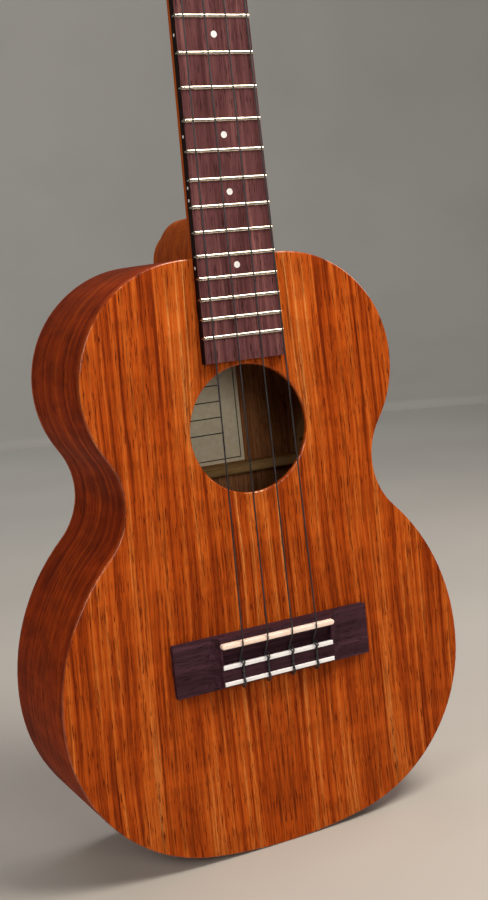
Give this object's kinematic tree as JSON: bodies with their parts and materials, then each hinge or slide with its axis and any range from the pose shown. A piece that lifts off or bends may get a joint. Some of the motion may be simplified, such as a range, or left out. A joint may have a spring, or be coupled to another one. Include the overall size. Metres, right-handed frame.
{
  "type": "tenor ukulele",
  "caption": "Four-string tenor ukulele with a hollow figure-eight body, round soundhole, fretted neck, tie bridge and a leaning head with geared tuners.",
  "frame": {"origin": "centre of the bounding box's lowest face, under the body's tail", "axes": "+Z from the tail to the head, -Y out of the soundboard, +X to the right of a viewer who faces the soundboard"},
  "size_m": [0.2294, 0.0883, 0.6858],
  "materials": {
    "koa_top": "satin lacquer over open-pored koa",
    "koa_back": "satin lacquer over open-pored koa",
    "koa_sides": "satin lacquer over open-pored koa",
    "neck_mahogany": "satin",
    "lining_wood": "raw",
    "brace_spruce": "raw",
    "rosewood": "oiled, open-pored",
    "head_veneer": "satin lacquer",
    "fret_wire": "polished nickel silver",
    "dot_plastic": "flush, polished",
    "saddle_bone": "polished bone-like",
    "tie_plastic": "white, moulded",
    "label_paper": "matt cream",
    "nylon_string": "smooth nylon",
    "tuner_nickel": "polished nickel",
    "gear_brass": "cut brass",
    "button_plastic": "ivory coloured, moulded"
  },
  "bodies": {
    "root": {"back_brace_lower": "brace_spruce", "back_brace_middle": "brace_spruce", "back_brace_upper": "brace_spruce", "back_linings": "lining_wood", "back_plate": "koa_back", "bridge": "rosewood", "bridge_plate": "rosewood", "face_dots": "dot_plastic", "fan_braces": "brace_spruce", "fretboard": "rosewood", "frets": "fret_wire", "front_linings": "lining_wood", "head_plate": "head_veneer", "heel_cap": "neck_mahogany", "label": "label_paper", "neck": "neck_mahogany", "neck_block": "neck_mahogany", "nut": "saddle_bone", "plate_screws": "tuner_nickel", "post_bushings": "tuner_nickel", "saddle": "saddle_bone", "side_dots": "dot_plastic", "side_left": "koa_sides", "side_right": "koa_sides", "soundboard": "koa_top", "string_a": "nylon_string", "string_c": "nylon_string", "string_e": "nylon_string", "string_g": "nylon_string", "string_ties": "nylon_string", "tail_block": "neck_mahogany", "tie_strips": "tie_plastic", "top_brace_lower": "brace_spruce", "top_brace_upper": "brace_spruce", "tuner_plates": "tuner_nickel"},
    "knob_1": {"worm_1": "tuner_nickel", "button_1": "button_plastic"},
    "string_post_1": {"post_1": "tuner_nickel", "gear_1": "gear_brass", "gear_screw_1": "tuner_nickel", "string_wrap_1": "nylon_string"},
    "knob_2": {"worm_2": "tuner_nickel", "button_2": "button_plastic"},
    "string_post_2": {"post_2": "tuner_nickel", "gear_2": "gear_brass", "gear_screw_2": "tuner_nickel", "string_wrap_2": "nylon_string"},
    "knob_3": {"worm_3": "tuner_nickel", "button_3": "button_plastic"},
    "string_post_3": {"post_3": "tuner_nickel", "gear_3": "gear_brass", "gear_screw_3": "tuner_nickel", "string_wrap_3": "nylon_string"},
    "knob_4": {"worm_4": "tuner_nickel", "button_4": "button_plastic"},
    "string_post_4": {"post_4": "tuner_nickel", "gear_4": "gear_brass", "gear_screw_4": "tuner_nickel", "string_wrap_4": "nylon_string"}
  },
  "joints": [
    {"name": "knob_1_turn", "type": "hinge", "parent": "root", "child": "knob_1", "pos_m": [-0.0265, -0.00609, 0.5961], "axis": [-1, 0, 0], "continuous": true},
    {"name": "post_1_turn", "type": "hinge", "parent": "root", "child": "string_post_1", "pos_m": [-0.0185, -0.02372, 0.59351], "axis": [0, -0.9781, 0.2079], "continuous": true},
    {"name": "knob_2_turn", "type": "hinge", "parent": "root", "child": "knob_2", "pos_m": [-0.025, 0.00347, 0.6411], "axis": [-1, 0, 0], "continuous": true},
    {"name": "post_2_turn", "type": "hinge", "parent": "root", "child": "string_post_2", "pos_m": [-0.017, -0.01415, 0.63851], "axis": [0, -0.9781, 0.2079], "continuous": true},
    {"name": "knob_3_turn", "type": "hinge", "parent": "root", "child": "knob_3", "pos_m": [0.025, 0.00347, 0.6411], "axis": [1, 0, 0], "continuous": true},
    {"name": "post_3_turn", "type": "hinge", "parent": "root", "child": "string_post_3", "pos_m": [0.017, -0.01415, 0.63851], "axis": [0, -0.9781, 0.2079], "continuous": true},
    {"name": "knob_4_turn", "type": "hinge", "parent": "root", "child": "knob_4", "pos_m": [0.0265, -0.00609, 0.5961], "axis": [1, 0, 0], "continuous": true},
    {"name": "post_4_turn", "type": "hinge", "parent": "root", "child": "string_post_4", "pos_m": [0.0185, -0.02372, 0.59351], "axis": [0, -0.9781, 0.2079], "continuous": true}
  ],
  "couplings": [
    {"joint": "post_1_turn", "follows": "knob_1_turn", "ratio": -0.071429},
    {"joint": "post_2_turn", "follows": "knob_2_turn", "ratio": -0.071429},
    {"joint": "post_3_turn", "follows": "knob_3_turn", "ratio": 0.071429},
    {"joint": "post_4_turn", "follows": "knob_4_turn", "ratio": 0.071429}
  ]
}
